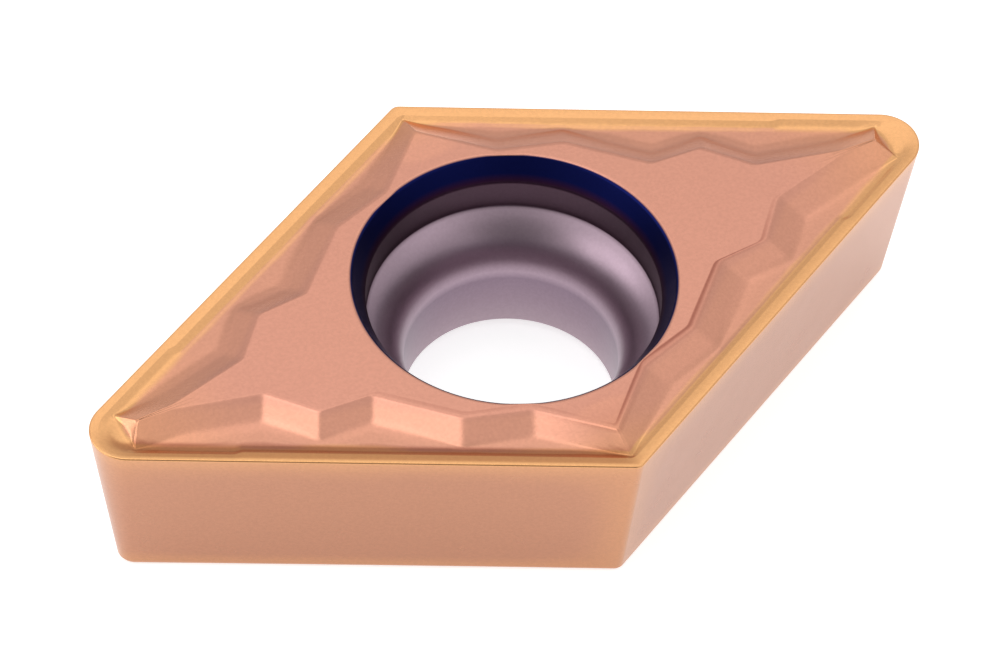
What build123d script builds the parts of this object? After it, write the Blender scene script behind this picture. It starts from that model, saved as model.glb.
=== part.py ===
from build123d import *
from math import cos, radians, sin, tan
import os

# Indexable carbide turning insert: 55 degree diamond, positive, single sided, with
# a screw hole and a moulded chipbreaker on the rake face. Millimetres and degrees.
# The origin is the centre of the flat bottom, X runs along the long diagonal.

# Outline and flanks
inscribed_circle = 9.525
point_angle = 55.0
thickness = 3.97
relief_angle = 7.0
nose_radius = 0.8
smallest_nose_radius = 0.1
obtuse_corner_radius = 0.2
cutting_edge_hone = 0.04
bottom_edge_radius = 0.15

# Screw hole. Depths are measured down from the plane of the cutting edges.
bore_diameter = 4.4
bore_bottom_chamfer = 0.2
seat_diameter = 6.0
seat_end_depth = 2.37
seat_rim_depth = 1.07
flare_depth = 0.37
flare_angle = 30.0
flare_rounding = 0.12

# Flat land behind the cutting edge, narrow at the nose and wider along the flank
nose_land_width = 0.19
flank_land_width = 0.25
land_step_start = 3.6
land_step_length = 0.2

# Groove between the land and the chipbreaker: a falling strip, then a nearly level floor
strip_width = 0.19
strip_depth = 0.08
floor_width = 0.6
floor_drop = 0.005
groove_corner_radius = 0.1

# Chipbreaker: a raised plateau with ramped, waved flanks and a wedge at each nose.
# Inset is measured inward from the cutting edge, reach from the acute corner.
plateau_rise = 0.15
ramp_angle = 22.0
ramp_root = 0.035
wedge_reach = 1.9
wedge_lead = 0.07
wedge_hollow = 0.1
ridge_half_width = 0.03
ridge_reach = 2.7
first_trough_along = 4.17
last_trough_before_corner = 2.13
trough_inset = 1.62
near_crest_inset = 1.18
far_crest_inset = 1.08
plateau_rim_margin = 0.06
plateau_corner_inset = 0.85

# Places of the inner waves, as shares of the run from the first to the last trough
near_crest_share = 0.21
middle_trough_share = 0.4
far_crest_share = 0.74

# Points of the wedge's hollowed end, as shares of its half width
hollow_shares = (0, 0.5)

# Derived sizes
half_angle = radians(point_angle / 2)
edge_length = inscribed_circle / sin(2 * half_angle)
half_length = edge_length * cos(half_angle)
half_width = edge_length * sin(half_angle)
plateau_height = thickness + plateau_rise
strip_height = thickness - strip_depth
floor_height = strip_height - floor_drop
root_height = floor_height - ramp_root
ramp_run = (plateau_height - root_height) / tan(radians(ramp_angle))
flare_radius = seat_diameter / 2 + (flare_depth + plateau_rise) * tan(radians(flare_angle))
flare_tangent = flare_rounding * tan(radians(90 - flare_angle) / 2)
last_trough_inset = inscribed_circle / 2 - flare_radius - flare_tangent - plateau_rim_margin
relief_inset = thickness * tan(radians(relief_angle))
bottom_nose_radius = max(nose_radius - relief_inset, smallest_nose_radius)
bottom_rounding = min(bottom_edge_radius, bottom_nose_radius / 2)
on_axis = 1e-6


def edge_point(along, inset):
    """Point on the first quarter, from the distances along and inward of its cutting edge."""
    return (
        half_length - along * cos(half_angle) - inset * sin(half_angle),
        along * sin(half_angle) - inset * cos(half_angle),
    )


def acute_point(inset):
    """Point on the long diagonal at this inset from both cutting edges."""
    return (half_length - inset / sin(half_angle), 0)


def obtuse_point(inset):
    """Point on the short diagonal at this inset from both cutting edges."""
    return (0, half_width - inset / cos(half_angle))


def four_fold(quarter):
    """Close a quarter outline into a whole one by mirroring it about both diagonals."""
    upper = quarter + [(-x, y) for x, y in reversed(quarter) if x > on_axis]
    return upper + [(x, -y) for x, y in reversed(upper) if y > on_axis]


def groove_quarter(nose_inset, flank_inset):
    """Quarter outline of the groove, with the step where the land widens."""
    return [
        acute_point(nose_inset),
        edge_point(land_step_start, nose_inset),
        edge_point(land_step_start + land_step_length, flank_inset),
        obtuse_point(flank_inset),
    ]


def chipbreaker_quarter(outward, lead, hollow):
    """Quarter outline of the chipbreaker, moved outward down its ramps."""
    last_trough_along = edge_length - last_trough_before_corner
    wave_run = last_trough_along - first_trough_along
    waves = [
        (first_trough_along, trough_inset),
        (first_trough_along + near_crest_share * wave_run, near_crest_inset),
        (first_trough_along + middle_trough_share * wave_run, trough_inset),
        (first_trough_along + far_crest_share * wave_run, far_crest_inset),
        (last_trough_along, last_trough_inset),
    ]
    out_x = outward * sin(half_angle)
    out_y = outward * cos(half_angle)
    wedge = (half_length - wedge_reach + out_x + lead, ridge_half_width + out_y)
    wedge_end = [(wedge[0] - hollow * (1 - share**2), wedge[1] * share) for share in hollow_shares]
    ridge = (half_length - ridge_reach + out_x, ridge_half_width + out_y)
    ramps = [edge_point(along, inset - outward) for along, inset in waves]
    return [*wedge_end, wedge, ridge, *ramps, obtuse_point(plateau_corner_inset - outward)]


def rounded_at_noses(corner_radius):
    """Round the two acute corners of the sketch in hand."""
    corners = vertices().sort_by(Axis.X)
    fillet([corners[0], corners[-1]], radius=corner_radius)


# Groove: three outlines, from the land's inner edge down to the floor
with BuildPart() as groove:
    insets = [0, strip_width, strip_width + floor_width]
    heights = [thickness, strip_height, floor_height]
    for inset, height in zip(insets, heights):
        nose_inset = nose_land_width + inset
        with BuildSketch(Plane.XY.offset(height)):
            with BuildLine():
                Polyline(four_fold(groove_quarter(nose_inset, flank_land_width + inset)), close=True)
            make_face()
            rounded_at_noses(max(nose_radius - nose_inset, groove_corner_radius))
    loft(ruled=True)

# Chipbreaker: plateau on top, its wider foot just under the groove's floor
with BuildPart() as chipbreaker:
    with BuildSketch(Plane.XY.offset(root_height)):
        with BuildLine():
            Polyline(four_fold(chipbreaker_quarter(ramp_run, wedge_lead, wedge_hollow)), close=True)
        make_face()
    with BuildSketch(Plane.XY.offset(plateau_height)):
        with BuildLine():
            Polyline(four_fold(chipbreaker_quarter(0, 0, 0)), close=True)
        make_face()
    loft(ruled=True)

with BuildPart() as insert_body:
    # Diamond blank between its bottom and the wider outline of the cutting edges
    blank_sections = [(0, relief_inset, bottom_nose_radius), (thickness, 0, nose_radius)]
    for height, inset, corner_radius in blank_sections:
        with BuildSketch(Plane.XY.offset(height)):
            with BuildLine():
                Polyline(four_fold([acute_point(inset), obtuse_point(inset)]), close=True)
            make_face()
            rounded_at_noses(corner_radius)
    loft(ruled=True)
    fillet(
        insert_body.edges().filter_by(lambda edge: abs(edge.center().X) < on_axis),
        radius=obtuse_corner_radius,
    )
    fillet(insert_body.edges().group_by(Axis.Z)[0], radius=bottom_rounding)
    fillet(insert_body.edges().group_by(Axis.Z)[-1], radius=cutting_edge_hone)

    # Rake face
    add(groove.part, mode=Mode.SUBTRACT)
    add(chipbreaker.part)

    # Screw hole: chamfer, bore, rounded seat, upper wall and flared, rounded rim
    with BuildSketch(Plane.XZ):
        with BuildLine():
            chamfer_radius = bore_diameter / 2 + bore_bottom_chamfer
            lower = Polyline(
                (0, 0),
                (chamfer_radius, 0),
                (bore_diameter / 2, bore_bottom_chamfer),
                (bore_diameter / 2, thickness - seat_end_depth),
            )
            seat_rim = (seat_diameter / 2, thickness - seat_rim_depth)
            seat = TangentArc(lower @ 1, seat_rim, tangent=lower % 1)
            wall = Line(seat @ 1, (seat_diameter / 2, thickness - flare_depth))
            flare_end = (
                flare_radius - flare_tangent * sin(radians(flare_angle)),
                plateau_height - flare_tangent * cos(radians(flare_angle)),
            )
            flare = Line(wall @ 1, flare_end)
            rim = TangentArc(flare @ 1, (flare_radius + flare_tangent, plateau_height), tangent=flare % 1)
            Polyline(rim @ 1, rim @ 1 + (0, plateau_rise), (0, plateau_height + plateau_rise), (0, 0))
        make_face()
    revolve(axis=Axis.Z, mode=Mode.SUBTRACT)

insert_body.part.label = "insert_body"

os.makedirs("parts", exist_ok=True)
export_step(insert_body.part, "parts/insert_body.step")
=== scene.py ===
import logging
import math
from dataclasses import dataclass, field
from enum import Enum

import bpy
import numpy as np
from mathutils import Matrix, Vector


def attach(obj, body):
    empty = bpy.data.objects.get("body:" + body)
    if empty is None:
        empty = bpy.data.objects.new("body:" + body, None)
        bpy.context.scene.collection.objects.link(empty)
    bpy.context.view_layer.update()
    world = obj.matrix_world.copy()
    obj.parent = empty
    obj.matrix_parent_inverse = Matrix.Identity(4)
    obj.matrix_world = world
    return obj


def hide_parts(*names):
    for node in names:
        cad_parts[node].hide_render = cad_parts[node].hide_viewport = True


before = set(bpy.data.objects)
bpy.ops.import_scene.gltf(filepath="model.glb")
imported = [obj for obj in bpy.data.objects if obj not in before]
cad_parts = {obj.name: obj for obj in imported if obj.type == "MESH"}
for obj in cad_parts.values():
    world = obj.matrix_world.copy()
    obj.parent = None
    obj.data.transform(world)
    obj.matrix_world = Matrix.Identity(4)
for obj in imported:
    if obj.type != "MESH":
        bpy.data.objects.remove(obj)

# Coated carbide turning insert on a pale studio floor. Sizes of the insert are in
# millimetres, as on its drawing, and become metres where a mesh or a place is made.

MM = 0.001
LOG = logging.getLogger("insert_scene")
CAD_NODE = "insert_body"
BODY = "root"
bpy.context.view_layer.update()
FOOT_ROW = 2
"""Place of the ramps' foot among the rows of the rake face."""

Rings = list[np.ndarray]
Point = tuple[float, float]
Colour = tuple[float, float, float, float]


class Surface(Enum):
    """Stretch of the insert's skin that a row of its mesh belongs to."""

    RAKE = "rake"
    FLANK = "flank"
    BOTTOM = "bottom"
    HOLE = "hole"


# ---------------------------------------------------------------- outlines and rows


def corner_arc(before: np.ndarray, corner: np.ndarray, after: np.ndarray, cut: np.ndarray,
               samples: int) -> Rings:
    """Round a corner with a circular arc, for one corner or for a whole ring of corners.

    Args:
        before: Point or points on the way into the corner.
        corner: The sharp corner itself.
        after: Point or points on the way out of the corner.
        cut: Distance from the corner at which the arc starts and ends.
        samples: Number of points along the arc.

    Returns:
        The points of the arc, in order.
    """
    into = before - corner
    out = after - corner
    into = into / np.linalg.norm(into, axis=-1, keepdims=True)
    out = out / np.linalg.norm(out, axis=-1, keepdims=True)
    start = corner + into * cut
    end = corner + out * cut
    cosine = np.sum(into * out, axis=-1, keepdims=True)
    weight = np.sqrt(np.clip((1.0 - cosine) / 2.0, 1e-9, 1.0))
    arc = []
    for step in np.linspace(0.0, 1.0, samples):
        shares = ((1 - step) ** 2, 2 * step * (1 - step) * weight, step ** 2)
        total = shares[0] + shares[1] + shares[2]
        arc.append((shares[0] * start + shares[1] * corner + shares[2] * end) / total)
    return arc


def smooth_step(value: np.ndarray) -> np.ndarray:
    """Ease from 0 to 1 with level ends."""
    value = np.clip(value, 0.0, 1.0)
    return value * value * (3.0 - 2.0 * value)


@dataclass(frozen=True)
class Ease:
    """Smooth way from 0 to 1 between two values, the second of which may be the lower one."""

    start: float
    end: float

    def at(self, value: np.ndarray) -> np.ndarray:
        """Share of the way that a value has gone."""
        return smooth_step((value - self.start) / (self.end - self.start))


@dataclass(frozen=True)
class Station:
    """Corner of a quarter outline, shared by all the outlines that run beside each other."""

    samples: int
    """Number of points on the corner's rounding."""
    after: int
    """Number of free points between this corner and the next one."""


def closed_outline(quarter: list[Point], cuts: list[float], stations: list[Station]) -> np.ndarray:
    """Mirror a quarter outline about both diagonals and round its corners.

    Args:
        quarter: Corners from the long diagonal round to the short one.
        cuts: How far from each corner its rounding starts.
        stations: How finely each corner and the stretch after it are sampled.

    Returns:
        One row per point of the closed outline, as x and y.
    """
    last = len(quarter) - 1
    order = list(range(last + 1)) + list(range(last - 1, -1, -1))
    order += list(range(1, last + 1)) + list(range(last - 1, 0, -1))
    signs = [(1, 1)] * (last + 1) + [(-1, 1)] * last + [(-1, -1)] * last + [(1, -1)] * (last - 1)
    corners = [np.array(quarter[k]) * np.array(sign) for k, sign in zip(order, signs)]
    count = len(corners)
    points: Rings = []
    for spot in range(count):
        here, before, after = corners[spot], corners[spot - 1], corners[(spot + 1) % count]
        station = order[spot]
        arc = corner_arc(before, here, after, cuts[station], stations[station].samples)
        next_station = order[(spot + 1) % count]
        way = (after - here) / np.linalg.norm(after - here)
        leave, arrive = arc[-1], after - way * cuts[next_station]
        free = stations[min(station, next_station)].after
        shares = np.linspace(0.0, 1.0, free + 2)[1:-1]
        points += arc + [leave + (arrive - leave) * share for share in shares]
    return np.array(points)


@dataclass
class Row:
    """Sharp ring of the insert's skin and how it is rounded and filled up to the next one.

    The rounding takes at most the given shares of the way to the rings before and after.
    """

    ring: np.ndarray
    surface: Surface
    cut: float | np.ndarray = 0.0
    samples: int = 1
    after: int = 1
    room: tuple[float, float] = (0.48, 0.48)


def skin_rings(rows: list[Row]) -> tuple[Rings, list[Surface]]:
    """Round every sharp ring across the surface and fill the stretches between them.

    Args:
        rows: Sharp rings in order round the section of the ring-shaped body.

    Returns:
        The rings of the finished mesh and the surface that each belongs to.
    """
    rings: Rings = []
    surfaces: list[Surface] = []
    count = len(rows)
    gaps = [
        np.linalg.norm(rows[(spot + 1) % count].ring - row.ring, axis=1)
        for spot, row in enumerate(rows)
    ]
    cuts = [
        np.minimum(row.cut, np.minimum(row.room[0] * gaps[spot - 1], row.room[1] * gaps[spot]))[:, None]
        for spot, row in enumerate(rows)
    ]
    for spot, row in enumerate(rows):
        after = rows[(spot + 1) % count]
        arc = [row.ring]
        if row.samples > 1:
            arc = corner_arc(rows[spot - 1].ring, row.ring, after.ring, cuts[spot], row.samples)
        way = (after.ring - row.ring) / gaps[spot][:, None]
        arrive = after.ring - way * (cuts[(spot + 1) % count] if after.samples > 1 else 0.0)
        leave = arc[-1]
        shares = np.linspace(0.0, 1.0, row.after + 2)[1:-1]
        rings += arc + [leave + (arrive - leave) * share for share in shares]
        surfaces += [row.surface] * (len(arc) + row.after)
    return rings, surfaces


# ---------------------------------------------------------------- materials


class NodeBoard:
    """Node tree of a material, a world or a group, with short calls to add and join nodes."""

    def __init__(self, tree: bpy.types.NodeTree) -> None:
        """Keep the tree that the calls add to."""
        self.tree = tree

    def add(self, kind: str, inputs: dict[str | int, object] | None = None,
            **fields: object) -> bpy.types.Node:
        """Add a node.

        Args:
            kind: Blender's name of the node type.
            inputs: Values, or sockets to join, by input name or place.
            fields: Attributes of the node itself.

        Returns:
            The new node.
        """
        node = self.tree.nodes.new(kind)
        for name, value in fields.items():
            setattr(node, name, value)
        for name, value in (inputs or {}).items():
            self.feed(node.inputs[name], value)
        return node

    def feed(self, socket: bpy.types.NodeSocket, value: object) -> None:
        """Give a socket its value, or join it to the socket that the value is."""
        if isinstance(value, bpy.types.NodeSocket):
            self.tree.links.new(value, socket)
        else:
            socket.default_value = value

    def math(self, operation: str, first: object, second: object = 0.0,
             clamp: bool = False) -> bpy.types.NodeSocket:
        """Add a math node and give its result."""
        node = self.add("ShaderNodeMath", {0: first, 1: second}, operation=operation, use_clamp=clamp)
        return node.outputs[0]

    def ramp(self, value: object, low: float, high: float, to_low: float = 0.0,
             to_high: float = 1.0) -> bpy.types.NodeSocket:
        """Ease a value from one range to another and give the result."""
        node = self.add(
            "ShaderNodeMapRange",
            {"Value": value, "From Min": low, "From Max": high, "To Min": to_low, "To Max": to_high},
            interpolation_type="SMOOTHSTEP",
        )
        return node.outputs["Result"]

    def mix(self, share: object, first: object, second: object, **fields: object) -> bpy.types.NodeSocket:
        """Mix two colours and give the result."""
        node = self.add("ShaderNodeMix", data_type="RGBA", **fields)
        for place, value in ((0, share), (6, first), (7, second)):
            self.feed(node.inputs[place], value)
        return node.outputs[2]

    def colours(self, value: object, stops: list[tuple[float, Colour]]) -> bpy.types.NodeSocket:
        """Look a value up in a run of colours.

        Args:
            value: Socket with the value, from 0 to 1.
            stops: Values and the colours that stand for them.

        Returns:
            The colour.
        """
        node = self.add("ShaderNodeValToRGB", {0: value})
        run = node.color_ramp.elements
        while len(run) < len(stops):
            run.new(0.5)
        for element, (place, colour) in zip(run, stops):
            element.position, element.color = place, colour
        return node.outputs[0]

    def noise(self, where: object, scale: float, detail: float = 2.0,
              roughness: float = 0.5) -> bpy.types.NodeSocket:
        """Add a noise pattern and give its value."""
        inputs = {"Vector": where, "Scale": scale, "Detail": detail, "Roughness": roughness}
        return self.add("ShaderNodeTexNoise", inputs).outputs[0]


@dataclass(frozen=True)
class CarbideCoating:
    """Copper-coloured satin coating, golden beside the cutting edges and dark in the screw hole, with painted
    shade on the front edge and on the hole's wall and painted light towards the hole's bottom.

    Lengths are in millimetres and the scales of the patterns in cells per millimetre.
    """

    copper: Colour = (0.62, 0.289, 0.206, 1.0)
    salmon: Colour = (0.61, 0.288, 0.193, 1.0)
    slope: Colour = (0.675, 0.315, 0.215, 1.0)
    gold: Colour = (0.775, 0.405, 0.176, 1.0)
    flank_copper: Colour = (0.49, 0.235, 0.145, 1.0)
    flank_gold: Colour = (0.56, 0.275, 0.15, 1.0)
    # Tint multiplied in as painted shade on the front edge's land and groove, round the left nose, along the
    # fold ring and on the plateau's front corner.
    painted_shade: Colour = (0.56, 0.44, 0.43, 1.0)
    warm: Colour = (0.75, 0.348, 0.196, 1.0)
    navy: Colour = (0.006, 0.009, 0.075, 1.0)
    plum: Colour = (0.04, 0.012, 0.04, 1.0)
    # The wall is the coating's own hue darkened with painted shade deep in the hole; seat_end, bore_middle
    # and bore_end grow lighter downwards as painted light towards the hole's bottom opening.
    wall: Colour = (0.09, 0.052, 0.072, 1.0)
    seat: Colour = (0.38, 0.28, 0.335, 1.0)
    seat_end: Colour = (0.46, 0.345, 0.415, 1.0)
    bore: Colour = (0.29, 0.21, 0.27, 1.0)
    bore_middle: Colour = (0.34, 0.25, 0.305, 1.0)
    bore_end: Colour = (0.45, 0.345, 0.395, 1.0)
    gold_full: float = 0.36
    gold_gone: float = 0.54
    slope_full: float = 1.3
    slope_gone: float = 2.3
    copper_full: float = 3.2
    rake_roughness: float = 0.22
    flank_roughness: float = 0.24
    hole_roughness: float = 0.34
    grain_scale: float = 14.0
    grain_detail: float = 3.0
    grain_contrast: float = 0.6
    grain_range: tuple[float, float] = (0.3, 0.7)
    grain_relief: float = 0.05
    grain_height: float = 0.01
    grain_shade: float = 0.12
    grain_tint: Colour = (0.5, 0.45, 0.45, 1.0)
    uneven_scale: float = 1.2
    uneven_roughness: float = 0.05
    drift_scale: float = 0.5
    drift_reach: float = 0.3
    flank_gold_gone: float = 0.8
    hole_start: tuple[float, float] = (0.001, 0.02)
    hole_bottom: float = 4.2
    """Depth under the plateau that the end of the hole's run of colours stands for."""

    def build(self) -> bpy.types.Material:
        """Make the coating's material.

        Returns:
            The material, ready for the insert's mesh.
        """
        material = bpy.data.materials.new("coated_carbide")
        material.use_nodes = True
        board = NodeBoard(material.node_tree)
        shader = material.node_tree.nodes["Principled BSDF"]
        place = board.add("ShaderNodeTexCoord").outputs["Object"]
        edge = board.add("ShaderNodeAttribute", attribute_name="edge_distance").outputs["Fac"]
        depth = board.add("ShaderNodeAttribute", attribute_name="hole_depth").outputs["Fac"]
        flank = board.add("ShaderNodeAttribute", attribute_name="flank").outputs["Fac"]
        grain = board.noise(place, self.grain_scale / MM, self.grain_detail, self.grain_contrast)
        hole = board.ramp(depth, *self.hole_start)
        colour = self.coat_colour(board, place, edge, flank)
        colour = board.mix(hole, colour, self.hole_colour(board, depth))
        shade = board.ramp(grain, *self.grain_range, 0.0, self.grain_shade)
        colour = board.mix(shade, colour, self.grain_tint, blend_type="MULTIPLY")
        roughness = board.ramp(flank, 0.0, 1.0, self.rake_roughness, self.flank_roughness)
        rougher = board.math("MULTIPLY", hole, self.hole_roughness - self.rake_roughness)
        patches = board.noise(place, self.uneven_scale / MM)
        uneven = board.math("ADD", rougher, board.math("MULTIPLY", patches, self.uneven_roughness))
        relief = {"Strength": self.grain_relief, "Distance": self.grain_height * MM, "Height": grain}
        bump = board.add("ShaderNodeBump", relief)
        links = material.node_tree.links
        links.new(colour, shader.inputs["Base Color"])
        links.new(board.math("ADD", roughness, uneven), shader.inputs["Roughness"])
        links.new(bump.outputs["Normal"], shader.inputs["Normal"])
        shader.inputs["Metallic"].default_value = 1.0
        return material

    def coat_colour(self, board: NodeBoard, place: bpy.types.NodeSocket, edge: bpy.types.NodeSocket,
                    flank: bpy.types.NodeSocket) -> bpy.types.NodeSocket:
        """Blend the coating from gold at the edges through salmon and the slopes' tone to copper, then darken
        it with painted shade.

        Args:
            board: Node tree to add to.
            place: Place on the insert.
            edge: Distance from the edges, in millimetres.
            flank: 1 on the flank and the bottom, 0 on the rake face.

        Returns:
            The coating's colour.
        """
        drift = board.math("SUBTRACT", board.noise(place, self.drift_scale / MM), 0.5)
        wandering = board.math("ADD", edge, board.math("MULTIPLY", drift, self.drift_reach))
        inner = board.mix(board.ramp(wandering, self.gold_gone, self.slope_full), self.salmon, self.slope)
        inner = board.mix(board.ramp(wandering, self.slope_gone, self.copper_full), inner, self.copper)
        warmth = board.add("ShaderNodeAttribute", attribute_name="warmth").outputs["Fac"]
        inner = board.mix(warmth, inner, self.warm)
        rake = board.mix(board.ramp(wandering, self.gold_full, self.gold_gone), self.gold, inner)
        # Painted shade: darkens the rake face on the front edge, round the left nose, along a line at the
        # fold ring and on the plateau's front corner.
        painted_shade = board.add("ShaderNodeAttribute", attribute_name="painted_shade").outputs["Fac"]
        rake = board.mix(painted_shade, rake, self.painted_shade, blend_type="MULTIPLY")
        side_share = board.ramp(wandering, 0.0, self.flank_gold_gone)
        side = board.mix(side_share, self.flank_gold, self.flank_copper)
        return board.mix(flank, rake, side)

    def hole_colour(self, board: NodeBoard, depth: bpy.types.NodeSocket) -> bpy.types.NodeSocket:
        """Colour the screw hole from its navy flare down to its lavender bore, with painted shade darkening
        the wall below the flare and painted light brightening the seat's end and the bore towards the bottom.

        Args:
            board: Node tree to add to.
            depth: Depth under the plateau, in millimetres.

        Returns:
            The hole's colour.
        """
        # Navy and plum are the coating's own colours; the dark wall is painted shade, and the lighter seat
        # end and bore towards the bottom are painted light.
        depths = [
            (0.0, self.navy), (0.34, self.navy), (0.47, self.plum), (0.56, self.wall),
            (1.2, self.wall), (1.26, self.seat), (2.1, self.seat), (2.4, self.seat_end),
            (2.6, self.bore), (3.2, self.bore_middle), (4.0, self.bore_end),
        ]
        stops = [(place / self.hole_bottom, colour) for place, colour in depths]
        return board.colours(board.math("DIVIDE", depth, self.hole_bottom), stops)


@dataclass(frozen=True)
class Gilding:
    """How far the gold beside the edges reaches, told by stretching the distance from them.

    Lengths are in millimetres. At the noses the distance counts less, so the gold is wider
    there, and up the ramps it counts more, so the gold ends at their feet.
    """

    nose_scale: float = 0.45
    nose_lead: float = 0.6
    corner_width: float = 0.9
    corner_start: Ease = Ease(3.4, 3.9)
    corner_widening: float = 0.4
    wedge_steepness: float = 3.0
    ramp_steepness: float = 8.0
    steepness_length: float = 0.8
    corner_easing: float = 0.8
    lift_length: float = 0.2
    flank_fade: float = 0.45
    bottom_scale: float = 1.6
    nose_flank_scale: float = 0.6
    corner_flank_scale: float = 0.9
    least_share: float = 1e-4


@dataclass(frozen=True)
class PaintedShading:
    """Where shade is painted onto the coating, in millimetres, and how strongly, from 0 to 1."""

    to_left: Ease = Ease(0.3, -0.3)
    to_front: Ease = Ease(0.2, -0.2)
    past_nose: Ease = Ease(0.9, 2.1)
    land: Ease = Ease(0.07, 0.12)
    land_share: float = 0.62
    strip: Ease = Ease(0.24, 0.3)
    strip_nose_share: float = 0.55
    nose_border: float = 0.4
    border_gain: float = 0.16
    border_blur: float = 0.1
    # Painted shade along the fold ring draws a dark crease line on the plateau, which is flat there.
    fold_shares: tuple[float, ...] = (
        0.0, 0.5, 1.0, 1.0, 0.9, 0.7, 0.5, 0.4, 0.35, 0.3, 0.25, 0.2, 0.1, 0.0,
    )
    """Share on each ring of the mesh, from the fold outwards."""
    fold_reach: float = 6.3
    fold_reach_loss: float = 1.2
    fold_fade: float = 2.4
    fold_left_loss: float = 0.75
    corner: Ease = Ease(3.1, 4.3)
    corner_share: float = 0.3
    plateau_margin: float = 0.03


@dataclass(frozen=True)
class Warming:
    """Where the copper turns golden again: distances from the theoretical corners."""

    nose_start: float = 4.3
    nose_length: float = 3.2
    corner_start: float = 1.5
    corner_length: float = 1.0
    corner_share: float = 0.8


# ---------------------------------------------------------------- the insert


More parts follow.
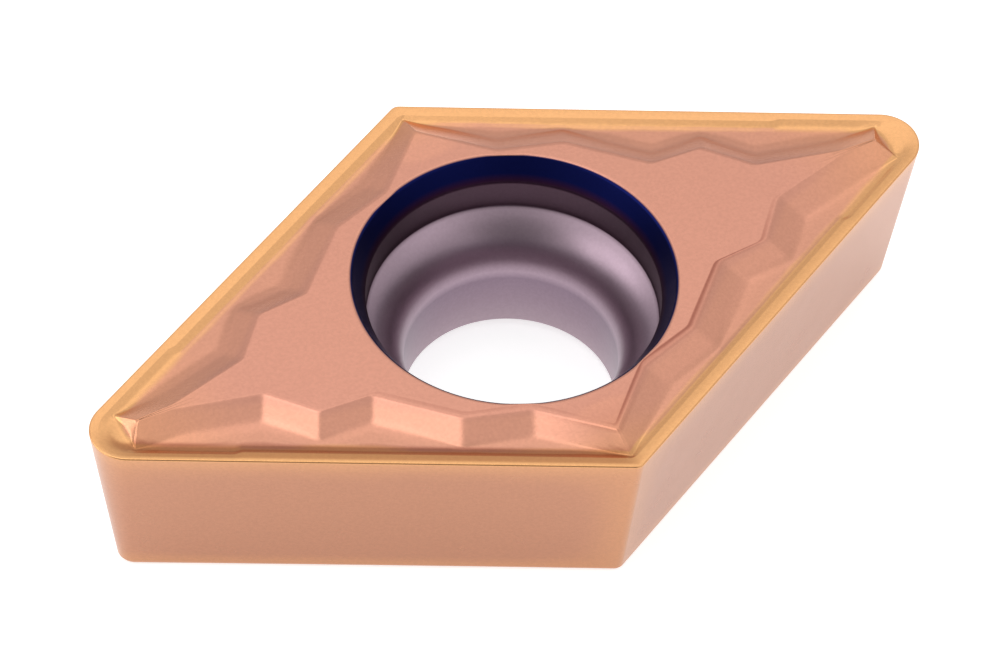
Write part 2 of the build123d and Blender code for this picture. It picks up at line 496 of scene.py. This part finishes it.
@dataclass
class CarbideInsert:
    """The insert: one closed skin of rings, from the hole's rim out over the rake face and back."""

    inscribed_circle: float = 9.525
    point_angle: float = 55.0
    thickness: float = 3.97
    relief_angle: float = 7.0
    nose_radius: float = 0.8
    obtuse_corner_cut: float = 0.11
    edge_hone: float = 0.042
    bottom_rounding: float = 0.15
    bore_radius: float = 2.2
    bore_chamfer: float = 0.2
    seat_radius: float = 3.0
    seat_end_depth: float = 2.37
    seat_rim_depth: float = 1.07
    flare_depth: float = 0.37
    flare_angle: float = 30.0
    flare_rounding: float = 0.12
    nose_land: float = 0.19
    flank_land: float = 0.25
    land_step_start: float = 3.6
    land_step_length: float = 0.2
    land_drop: float = 0.016
    land_crown: float = 0.004
    strip_width: float = 0.16
    strip_depth: float = 0.086
    strip_rounding: float = 0.08
    land_rounding: float = 0.012
    nose_strip_depth: float = 0.045
    nose_strip_reach: float = 1.1
    nose_strip_fade: float = 0.9
    plateau_rise: float = 0.15
    ramp_angle: float = 22.0
    ramp_root: float = 0.12
    plateau_rounding: float = 0.08
    foot_rounding: float = 0.18
    fold_inset: float = 0.12
    fold_width: float = 0.055
    wedge_reach: float = 1.9
    wedge_lead: float = 0.07
    wedge_hollow: float = 0.06
    wedge_hollow_cut: float = 0.36
    wedge_level_cut: float = 0.03
    wedge_tip_cut: float = 0.015
    wedge_top_cut: float = 0.025
    wedge_foot_cut: float = 0.05
    wedge_half_width: float = 0.03
    ridge_half_width: float = 0.06
    ridge_reach: float = 2.7
    first_trough: float = 4.17
    last_trough_before_corner: float = 2.13
    near_crest_share: float = 0.21
    middle_trough_share: float = 0.4
    far_crest_share: float = 0.74
    trough_inset: float = 1.62
    near_crest_inset: float = 1.18
    far_crest_inset: float = 1.08
    last_trough_inset: float = 1.33
    corner_inset: float = 0.85
    crease: float = 0.1
    corner_top_cut: float = 0.06
    corner_foot_cut: float = 0.05
    strip_room: tuple[float, float] = (0.48, 0.86)
    land_room: tuple[float, float] = (0.1, 0.48)
    least_closing: float = 0.3
    """Least gain of depth per length across the strip that its width allows for."""
    strip_share: float = 0.55
    """Most that the strip takes of the way from the land to the ramps' foot."""
    crown_rounding: float = 0.05
    mouth_margin: float = 0.05
    hole_rounding: float = 0.03
    bore_rounding: float = 0.05
    wall_rounding: float = 0.04
    rim_margin: float = 0.42
    """How far outside the seat the rim's rounding may reach."""
    flank_start: float = 0.06
    seat_rows: int = 8
    root_searches: int = 24
    gilding: Gilding = Gilding()
    # Where shade is painted on the rake face.
    painted_shading: PaintedShading = PaintedShading()
    warming: Warming = Warming()
    stations: list[Station] = field(default_factory=lambda: [
        Station(33, 2), Station(5, 5), Station(5, 20), Station(6, 9), Station(6, 8),
        Station(6, 12), Station(6, 11), Station(6, 13), Station(11, 0),
    ])
    """The long diagonal, the wedge, the ridge's end, the five waves and the short diagonal."""

    def __post_init__(self) -> None:
        """Work out the outline's own sizes."""
        self.half = math.radians(self.point_angle / 2)
        self.edge = self.inscribed_circle / math.sin(2 * self.half)
        self.half_length = self.edge * math.cos(self.half)
        self.half_width = self.edge * math.sin(self.half)

    def edge_point(self, along: float, inset: float) -> Point:
        """Place on the first quarter at these distances along and inward of the cutting edge."""
        return (
            self.half_length - along * math.cos(self.half) - inset * math.sin(self.half),
            along * math.sin(self.half) - inset * math.cos(self.half),
        )

    def inset_of(self, place: np.ndarray) -> np.ndarray:
        """Distance inward of the nearest cutting edge."""
        x, y = np.abs(place[..., 0]), np.abs(place[..., 1])
        return (self.half_length - x) * math.sin(self.half) - y * math.cos(self.half)

    def rounded_inset(self, points: np.ndarray) -> np.ndarray:
        """Distance inward of the cutting edges, following the arcs of the noses."""
        nose_centre = self.half_length - self.nose_radius / math.sin(self.half)
        past_x, y = np.abs(points[:, 0]) - nose_centre, np.abs(points[:, 1])
        in_nose = y * math.sin(self.half) < past_x * math.cos(self.half)
        gap = np.where(in_nose, self.nose_radius - np.hypot(past_x, y), self.inset_of(points))
        return np.maximum(gap, 0.0)

    def edge_distance(self, points: np.ndarray, surfaces: np.ndarray) -> np.ndarray:
        """Distance of each point from the edges of its own face.

        Args:
            points: Points of the skin.
            surfaces: Surface that each point belongs to.

        Returns:
            Distances in millimetres, stretched as the gilding asks.
        """
        gilding = self.gilding
        reach = self.half_length - np.abs(points[:, 0])
        past_wedge = reach - self.wedge_reach
        past_nose = smooth_step(past_wedge + gilding.nose_lead)
        rake = self.rounded_inset(points) * (gilding.nose_scale + (1.0 - gilding.nose_scale) * past_nose)
        land = self.land_width(reach / math.cos(self.half))
        lift = np.maximum(points[:, 2] - self.thickness + self.groove_depth(points, land), 0.0)
        corner = smooth_step(1.0 - np.abs(points[:, 0]) / gilding.corner_width)
        corner *= gilding.corner_start.at(np.abs(points[:, 1]))
        rake *= 1.0 - gilding.corner_widening * corner
        gain = smooth_step(past_wedge / gilding.steepness_length) * (1.0 - gilding.corner_easing * corner)
        steepness = gilding.wedge_steepness + (gilding.ramp_steepness - gilding.wedge_steepness) * gain
        past_land = (self.inset_of(points) - self.flank_land) / gilding.lift_length
        rake += steepness * lift * smooth_step(past_land)
        below = self.thickness - points[:, 2]
        relief = below * math.tan(math.radians(self.relief_angle))
        gaps = (below, gilding.bottom_scale * points[:, 2],
                gilding.nose_flank_scale * reach, gilding.corner_flank_scale * np.abs(points[:, 0]))
        away = np.prod([1.0 - np.exp(-np.maximum(gap, 0.0) / gilding.flank_fade) for gap in gaps], axis=0)
        flank = -gilding.flank_fade * np.log(np.clip(1.0 - away, gilding.least_share, 1.0))
        distance = np.where(surfaces == Surface.FLANK, flank, rake)
        return np.where(surfaces == Surface.BOTTOM, np.maximum(rake - relief, 0.0), distance)

    def painted_shade(self, points: np.ndarray, columns: int) -> np.ndarray:
        """Painted shade on the coating, from 0 to 1.

        The shade is painted on the front edge's land and groove, round the left nose, along a line at the
        fold ring inside the plateau's front edges, where the plateau is flat, and on the plateau's front
        corner.

        Args:
            points: Points of the skin, ring by ring from the fold outwards.
            columns: Number of points in each ring.

        Returns:
            One share per point.
        """
        tone = self.painted_shading
        along = (self.half_length - np.abs(points[:, 0])) / math.cos(self.half)
        inset = self.rounded_inset(points)
        left = tone.to_left.at(points[:, 0])
        front = tone.to_front.at(points[:, 1])
        past_nose = tone.past_nose.at(along)
        land = tone.land_share * tone.land.at(inset) * past_nose
        strip_share = tone.strip_nose_share + (1.0 - tone.strip_nose_share) * past_nose
        border = tone.nose_border + tone.border_gain * past_nose
        fade = smooth_step((border - inset) / tone.border_blur)
        # Painted shade on the front and left land and groove, fading past the nose.
        edge = left * front * np.maximum(land, tone.strip.at(inset) * strip_share) * fade
        fold = np.zeros(len(points))
        fold[:len(tone.fold_shares) * columns] = np.repeat(tone.fold_shares, columns)
        fold_end = tone.fold_reach - tone.fold_reach_loss * left
        fold *= smooth_step((fold_end - np.abs(points[:, 0])) / tone.fold_fade)
        fold *= 1.0 - tone.fold_left_loss * left
        on_plateau = points[:, 2] > self.thickness + self.plateau_rise - tone.plateau_margin
        corner = tone.corner_share * on_plateau * tone.corner.at(-points[:, 1])
        return np.maximum(edge, np.maximum(front * fold, corner))

    def warmth(self, points: np.ndarray) -> np.ndarray:
        """How far the copper turns golden again, towards the noses and the obtuse corners."""
        tone = self.warming
        nose = (tone.nose_start - self.half_length + np.abs(points[:, 0])) / tone.nose_length
        corner = (tone.corner_start - self.half_width + np.abs(points[:, 1])) / tone.corner_length
        return np.maximum(smooth_step(nose), tone.corner_share * smooth_step(corner))

    def hole_depth(self, points: np.ndarray, surfaces: np.ndarray) -> np.ndarray:
        """Depth under the plateau of the points of the hole and its rim, nothing elsewhere."""
        near = np.hypot(points[:, 0], points[:, 1]) < self.seat_radius + self.rim_margin
        rim = (surfaces == Surface.RAKE) & near
        depth = self.thickness + self.plateau_rise - points[:, 2]
        return np.where(rim | (surfaces == Surface.HOLE), depth, 0.0)

    def waves(self) -> list[Point]:
        """Distances along and inward of the plateau's troughs and crests."""
        last = self.edge - self.last_trough_before_corner
        run = last - self.first_trough
        return [
            (self.first_trough, self.trough_inset),
            (self.first_trough + self.near_crest_share * run, self.near_crest_inset),
            (self.first_trough + self.middle_trough_share * run, self.trough_inset),
            (self.first_trough + self.far_crest_share * run, self.far_crest_inset),
            (last, self.last_trough_inset),
        ]

    def crease_cuts(self) -> list[float]:
        """Roundings of the ridge's end and of each wave."""
        return [self.crease] * (1 + len(self.waves()))

    def level_outline(self, inset: float, radius: float) -> np.ndarray:
        """Outline at one inset from the cutting edges.

        Args:
            inset: Distance inward of the cutting edges.
            radius: Radius of the nose there.

        Returns:
            The closed outline, as x and y.
        """
        wave_places = [along for along, _ in self.waves()]
        wedge_along = self.wedge_reach * math.cos(self.half) - self.wedge_lead
        ridge_along = self.ridge_reach * math.cos(self.half)
        middle = [self.edge_point(along, inset) for along in [wedge_along, ridge_along, *wave_places]]
        quarter = [
            (self.half_length - inset / math.sin(self.half), 0.0),
            *middle,
            (0.0, self.half_width - inset / math.cos(self.half)),
        ]
        nose_cut = radius / math.tan(self.half)
        cuts = [nose_cut, self.wedge_level_cut, *self.crease_cuts(), self.obtuse_corner_cut]
        return closed_outline(quarter, cuts, self.stations)

    def chipbreaker_corners(self) -> tuple[list[Point], list[Point]]:
        """Quarter outlines of the plateau and of the foot of its ramps.

        Returns:
            The plateau's corners and the foot's corners, in step with the stations.
        """
        outward = (self.plateau_rise + self.ramp_root) / math.tan(math.radians(self.ramp_angle))
        shift = np.array([outward * math.sin(self.half), outward * math.cos(self.half)])
        wedge = (self.half_length - self.wedge_reach, self.wedge_half_width)
        ridge = (self.half_length - self.ridge_reach, self.ridge_half_width)
        corner = (0.0, self.half_width - self.corner_inset / math.cos(self.half))
        top = [wedge, ridge, *[self.edge_point(*wave) for wave in self.waves()], corner]
        foot = []
        for spot, place in enumerate(top):
            root = np.array(place) + shift
            if spot == 0:
                root[0] += self.wedge_lead
            if spot == len(top) - 1:
                root = np.array([0.0, place[1] + outward / math.cos(self.half)])
            foot.append(tuple(self.ramp_meets_floor(np.array(place), root)))
        top.insert(0, (wedge[0], 0.0))
        foot.insert(0, (foot[0][0] - self.wedge_hollow, 0.0))
        return top, foot

    def ramp_meets_floor(self, top: np.ndarray, root: np.ndarray) -> np.ndarray:
        """Follow a ramp down from the plateau until it meets the groove.

        Args:
            top: Corner of the plateau.
            root: The same corner at the depth of the ramps' root.

        Returns:
            The place where the ramp ends.
        """
        land = self.land_width((self.half_length - top[0]) / math.cos(self.half))
        low, high = 0.0, 1.0
        for _ in range(self.root_searches):
            share = (low + high) / 2
            place = top + (root - top) * share
            ramp_depth = share * (self.plateau_rise + self.ramp_root) - self.plateau_rise
            if ramp_depth < self.groove_depth(place, land):
                low = share
            else:
                high = share
        return place

    def groove_depth(self, place: np.ndarray, land: np.ndarray | float) -> np.ndarray:
        """Depth of the groove under the cutting edges, behind a land of this width."""
        past = np.maximum(self.inset_of(place) - land, 0.0)
        reach = self.half_length - np.abs(place[..., 0])
        along = smooth_step((reach - self.nose_strip_reach) / self.nose_strip_fade)
        floor = self.nose_strip_depth + (self.strip_depth - self.nose_strip_depth) * along
        return self.land_drop + np.minimum(past / self.strip_width, 1.0) * (floor - self.land_drop)

    def land_width(self, along: np.ndarray | float) -> np.ndarray:
        """Width of the land at a distance along the cutting edge."""
        share = smooth_step((np.asarray(along) - self.land_step_start) / self.land_step_length)
        return self.nose_land + (self.flank_land - self.nose_land) * share

    def at_depth(self, outline: np.ndarray, depth: np.ndarray | float) -> np.ndarray:
        """Lift an outline into space, at a depth under the cutting edges."""
        heights = np.broadcast_to(self.thickness - np.asarray(depth), (len(outline),))
        return np.column_stack([outline, heights])

    def circle(self, angles: np.ndarray, radius: float, height: float) -> np.ndarray:
        """Ring of the hole at one height."""
        return np.column_stack([
            radius * np.cos(angles), radius * np.sin(angles), np.full(len(angles), height),
        ])

    def rake_rows(self) -> list[Row]:
        """Sharp rings of the rake face, from the plateau out to the cutting edge.

        Returns:
            The fold, the plateau's edge, the ramps' foot, the strip, the land, its crown and the
            cutting edge.
        """
        top_corners, foot_corners = self.chipbreaker_corners()
        creases = self.crease_cuts()
        top_cuts = [self.wedge_tip_cut, self.wedge_top_cut, *creases, self.corner_top_cut]
        foot_cuts = [self.wedge_hollow_cut, self.wedge_foot_cut, *creases, self.corner_foot_cut]
        top = closed_outline(top_corners, top_cuts, self.stations)
        foot = closed_outline(foot_corners, foot_cuts, self.stations)
        edge = self.level_outline(0.0, self.nose_radius)
        land_width = self.land_width((self.half_length - np.abs(edge[:, 0])) / math.cos(self.half))
        narrow, wide = (
            self.level_outline(width, self.nose_radius - width)
            for width in (self.nose_land, self.flank_land)
        )
        share = ((land_width - self.nose_land) / (self.flank_land - self.nose_land))[:, None]
        land = narrow + (wide - narrow) * share
        inward = foot - land
        room = np.linalg.norm(inward, axis=1)
        depth_gain = (self.inset_of(foot) - self.inset_of(land)) / room
        reach = self.strip_width / np.maximum(depth_gain, self.least_closing)
        reach = np.minimum(reach, self.strip_share * room)
        strip = land + inward * (reach / room)[:, None]
        crown = (land + edge) / 2
        fold = top * (1.0 - self.fold_inset / np.linalg.norm(top, axis=1, keepdims=True))
        foot_depth = self.groove_depth(foot, land_width)
        strip_depth = self.groove_depth(strip, land_width)
        return [
            Row(self.at_depth(fold, -self.plateau_rise), Surface.RAKE, self.fold_width, samples=7, after=0),
            Row(self.at_depth(top, -self.plateau_rise), Surface.RAKE, self.plateau_rounding,
                samples=7, after=5),
            Row(self.at_depth(foot, foot_depth), Surface.RAKE, self.foot_rounding, samples=7, after=2),
            Row(self.at_depth(strip, strip_depth), Surface.RAKE, self.strip_rounding,
                samples=9, after=0, room=self.strip_room),
            Row(self.at_depth(land, self.land_drop), Surface.RAKE, self.land_rounding,
                samples=4, after=0, room=self.land_room),
            Row(self.at_depth(crown, self.land_crown), Surface.RAKE, self.crown_rounding, samples=5, after=0),
            Row(self.at_depth(edge, 0.0), Surface.FLANK, self.edge_hone, samples=7, after=10),
        ]

    def hole_rows(self, angles: np.ndarray) -> list[Row]:
        """Sharp rings of the hole, from the bottom up to the flared rim.

        Args:
            angles: Angle of each column of the mesh.

        Returns:
            The chamfer, the bore, the rounded seat, the wall and the rim of the flare.
        """
        bore, seat = self.bore_radius, self.seat_radius
        bore_top = self.thickness - self.seat_end_depth
        seat_top = self.thickness - self.seat_rim_depth
        rise, run = seat_top - bore_top, seat - bore
        bulge = (rise * rise + run * run) / (2 * run)
        sweep = math.asin(rise / bulge)
        mouth = bore + self.bore_chamfer
        chamfer = self.circle(angles, bore, self.bore_chamfer)
        rows = [
            Row(self.circle(angles, mouth + self.mouth_margin, 0.0), Surface.BOTTOM, after=0),
            Row(self.circle(angles, mouth, 0.0), Surface.HOLE, self.hole_rounding, samples=3, after=1),
            Row(chamfer, Surface.HOLE, self.bore_rounding, samples=3, after=3),
        ]
        for step in range(self.seat_rows):
            turn = sweep * step / self.seat_rows
            radius = bore + bulge * (1 - math.cos(turn))
            ring = self.circle(angles, radius, bore_top + bulge * math.sin(turn))
            rows.append(Row(ring, Surface.HOLE, after=0))
        flare = math.radians(self.flare_angle)
        rim = seat + (self.flare_depth + self.plateau_rise) * math.tan(flare)
        tangent = self.flare_rounding * math.tan((math.pi / 2 - flare) / 2)
        seat_ring = self.circle(angles, seat, seat_top)
        wall_ring = self.circle(angles, seat, self.thickness - self.flare_depth)
        rim_ring = self.circle(angles, rim, self.thickness + self.plateau_rise)
        return [
            *rows,
            Row(seat_ring, Surface.HOLE, self.hole_rounding, samples=4, after=2),
            Row(wall_ring, Surface.HOLE, self.wall_rounding, samples=4, after=2),
            Row(rim_ring, Surface.RAKE, tangent, samples=7, after=18),
        ]

    def build(self) -> bpy.types.Object:
        """Make the insert's mesh.

        Returns:
            The insert, with its places on the skin stored on its points.
        """
        rake = self.rake_rows()
        foot = rake[FOOT_ROW].ring
        angles = np.unwrap(np.arctan2(foot[:, 1], foot[:, 0]))
        relief = self.thickness * math.tan(math.radians(self.relief_angle))
        outline = self.level_outline(relief, self.nose_radius - relief)
        bottom = self.at_depth(outline, self.thickness)
        bottom_row = Row(bottom, Surface.BOTTOM, self.bottom_rounding, samples=6, after=8)
        rows = [*rake, bottom_row, *self.hole_rows(angles)]
        rings, surfaces = skin_rings(rows)
        return self.skin_object(rings, surfaces)

    def point_normals(self, points: np.ndarray, faces: np.ndarray) -> np.ndarray:
        """Normal at each point, led by the larger of the faces round it so that flats stay flat.

        Args:
            points: Points of the skin.
            faces: Four point numbers per face.

        Returns:
            One unit vector per point.
        """
        corners = points[faces]
        across = np.cross(corners[:, 2] - corners[:, 0], corners[:, 3] - corners[:, 1])
        normals = np.zeros_like(points)
        for spot in range(faces.shape[1]):
            np.add.at(normals, faces[:, spot], across)
        return normals / np.linalg.norm(normals, axis=1, keepdims=True)

    def skin_object(self, rings: Rings, surfaces: list[Surface]) -> bpy.types.Object:
        """Join the rings into one closed mesh.

        Args:
            rings: Rings in order, the last next to the first.
            surfaces: Surface that each ring belongs to.

        Returns:
            The mesh object, in metres.
        """
        points = np.concatenate(rings)
        columns, count = len(rings[0]), len(rings)
        row, column = np.meshgrid(np.arange(count), np.arange(columns), indexing="ij")
        next_row, next_column = (row + 1) % count, (column + 1) % columns
        faces = np.stack([
            row * columns + column, next_row * columns + column,
            next_row * columns + next_column, row * columns + next_column,
        ], axis=-1).reshape(-1, 4)
        mesh = bpy.data.meshes.new("carbide_insert")
        mesh.from_pydata((points * MM).tolist(), [], faces.tolist())
        mesh.polygons.foreach_set("use_smooth", [True] * len(mesh.polygons))
        surface = np.repeat(np.array(surfaces, dtype=object), columns)
        below_edge = smooth_step((self.thickness - points[:, 2]) / self.flank_start)
        places = {
            "edge_distance": self.edge_distance(points, surface),
            "hole_depth": self.hole_depth(points, surface),
            # Painted shade on the front edge, round the left nose, at the fold ring and on the plateau's
            # front corner.
            "painted_shade": self.painted_shade(points, columns),
            "warmth": self.warmth(points),
            "flank": np.where(surface == Surface.FLANK, below_edge, surface == Surface.BOTTOM),
        }
        for name, values in places.items():
            attribute = mesh.attributes.new(name, "FLOAT", "POINT")
            attribute.data.foreach_set("value", values.astype(np.float32))
        mesh.update()
        mesh.normals_split_custom_set_from_vertices(self.point_normals(points, faces).tolist())
        insert = bpy.data.objects.new("carbide_insert", mesh)
        bpy.context.scene.collection.objects.link(insert)
        return insert


# ---------------------------------------------------------------- studio


@dataclass(frozen=True)
class Softbox:
    """Square area lamp that looks at the insert from a direction, as bright as a white of this level."""

    name: str
    toward: tuple[float, float, float]
    distance: float
    size: float
    level: float

    def build(self) -> None:
        """Place the lamp."""
        lamp = bpy.data.lights.new(self.name, "AREA")
        lamp.shape = "SQUARE"
        lamp.size = self.size
        lamp.energy = self.level * math.pi * self.size ** 2
        holder = bpy.data.objects.new(self.name, lamp)
        direction = Vector(self.toward).normalized()
        holder.location = direction * self.distance
        holder.rotation_euler = direction.to_track_quat("Z", "Y").to_euler()
        bpy.context.scene.collection.objects.link(holder)


@dataclass(frozen=True)
class DimPatch:
    """Round part of the surroundings that is darker than the rest, with a soft border.

    The border runs between two cosines of the angle from the patch's middle.
    """

    toward: tuple[float, float, float]
    outside: float
    inside: float
    level: float


@dataclass
class Studio:
    """Pale floor, soft graded light all round, softboxes and the camera."""

    floor_size: float = 3.0
    floor_colour: Colour = (0.74, 0.74, 0.74, 1.0)
    floor_lift: float = 0.68
    """How brightly the floor shines by itself where the camera or a reflection sees it."""
    floor_gap: float = 0.01
    floor_roughness: float = 0.9
    sky: list[tuple[float, float]] = field(default_factory=lambda: [
        (0.0, 0.75), (0.12, 0.66), (0.3, 0.8), (0.45, 0.93),
        (0.65, 0.86), (0.8, 1.02), (0.9, 1.0), (1.0, 0.88),
    ])
    """Brightness of the surroundings by the upward part of the direction."""
    dim_patches: list[DimPatch] = field(default_factory=lambda: [
        DimPatch((-0.37, -0.66, 0.65), 0.8, 0.97, 0.3),
    ])
    camera_place: tuple[float, float, float] = (-35.883, -62.916, 88.445)
    camera_forward: tuple[float, float, float] = (0.31703, 0.56025, -0.76525)
    camera_right: tuple[float, float, float] = (0.88548, -0.46389, 0.02722)
    focal_pixels: float = 5509.2
    image_width: float = 1000.0
    sensor_width: float = 36.0
    clip_range: tuple[float, float] = (0.005, 5.0)
    softboxes: list[Softbox] = field(default_factory=lambda: [
        Softbox("overhead_softbox", (-0.18, 0.15, 0.97), 0.4, 0.16, 1.25),
        Softbox("back_softbox", (0.2, 0.42, 0.885), 0.4, 0.22, 0.35),
        Softbox("left_softbox", (-0.85, 0.2, 0.5), 0.4, 0.26, 1.2),
        Softbox("nose_softbox", (-0.66, 0.58, 0.48), 0.4, 0.14, 1.3),
        Softbox("right_softbox", (0.5, -0.45, 0.74), 0.4, 0.16, 0.35),
    ])

    def build(self) -> None:
        """Make the floor, the world, the lamps and the camera."""
        self.build_floor()
        self.build_world()
        for softbox in self.softboxes:
            softbox.build()
        self.build_camera()

    def build_floor(self) -> None:
        """Lay the pale floor that the insert stands on, clear when looked at from below."""
        half = self.floor_size / 2
        mesh = bpy.data.meshes.new("studio_floor")
        level = -self.floor_gap * MM
        corners = [(-half, -half), (half, -half), (half, half), (-half, half)]
        mesh.from_pydata([(x, y, level) for x, y in corners], [], [(0, 1, 2, 3)])
        floor = bpy.data.objects.new("studio_floor", mesh)
        bpy.context.scene.collection.objects.link(floor)
        material = bpy.data.materials.new("pale_floor")
        material.use_nodes = True
        board = NodeBoard(material.node_tree)
        shader = material.node_tree.nodes["Principled BSDF"]
        shader.inputs["Base Color"].default_value = self.floor_colour
        shader.inputs["Roughness"].default_value = self.floor_roughness
        shader.inputs["Specular IOR Level"].default_value = 0.0
        rays = board.add("ShaderNodeLightPath").outputs
        seen = board.math("ADD", rays["Is Camera Ray"], rays["Is Glossy Ray"])
        seen = board.math("ADD", seen, rays["Is Transmission Ray"], clamp=True)
        shader.inputs["Emission Color"].default_value = (1.0, 1.0, 1.0, 1.0)
        links = material.node_tree.links
        links.new(board.math("MULTIPLY", seen, self.floor_lift), shader.inputs["Emission Strength"])
        behind = board.add("ShaderNodeNewGeometry").outputs["Backfacing"]
        clear = board.add("ShaderNodeBsdfTransparent").outputs[0]
        sides = {0: behind, 1: shader.outputs[0], 2: clear}
        one_sided = board.add("ShaderNodeMixShader", sides).outputs[0]
        links.new(one_sided, material.node_tree.nodes["Material Output"].inputs["Surface"])
        mesh.materials.append(material)

    def build_world(self) -> None:
        """Light the scene softly from all round, graded with height and dimmer in the patches."""
        world = bpy.data.worlds.new("studio_world")
        world.use_nodes = True
        board = NodeBoard(world.node_tree)
        toward = board.add("ShaderNodeTexCoord").outputs["Generated"]
        height = board.add("ShaderNodeSeparateXYZ", {0: toward}).outputs[2]
        brightest = max(level for _, level in self.sky)
        stops = [(place, (level / brightest,) * 3 + (1.0,)) for place, level in self.sky]
        strength = brightest
        for patch in self.dim_patches:
            inputs = {0: toward, 1: patch.toward}
            facing = board.add("ShaderNodeVectorMath", inputs, operation="DOT_PRODUCT").outputs["Value"]
            dimmed = board.ramp(facing, patch.outside, patch.inside, 1.0, patch.level)
            strength = board.math("MULTIPLY", strength, dimmed)
        background = world.node_tree.nodes["Background"]
        world.node_tree.links.new(board.colours(height, stops), background.inputs["Color"])
        world.node_tree.links.new(strength, background.inputs["Strength"])
        bpy.context.scene.world = world

    def build_camera(self) -> None:
        """Place the camera and make it the scene's own."""
        data = bpy.data.cameras.new("studio_camera")
        data.sensor_width = self.sensor_width
        data.lens = self.focal_pixels / self.image_width * data.sensor_width
        data.clip_start, data.clip_end = self.clip_range
        camera = bpy.data.objects.new("studio_camera", data)
        back = -Vector(self.camera_forward).normalized()
        right = Vector(self.camera_right).normalized()
        up = back.cross(right)
        turn = Matrix((right, up, back)).transposed().to_4x4()
        camera.matrix_world = Matrix.Translation(Vector(self.camera_place) * MM) @ turn
        bpy.context.scene.collection.objects.link(camera)
        bpy.context.scene.camera = camera


def main() -> None:
    """Build the insert and its studio."""
    logging.basicConfig(level=logging.INFO)
    bpy.context.scene.view_settings.view_transform = "Standard"
    Studio().build()
    insert = CarbideInsert().build()
    insert.data.materials.append(CarbideCoating().build())
    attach(insert, BODY)
    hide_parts(CAD_NODE)
    mesh = insert.data
    LOG.info("carbide insert: %d points, %d faces", len(mesh.vertices), len(mesh.polygons))


if __name__ == "__main__":
    main()
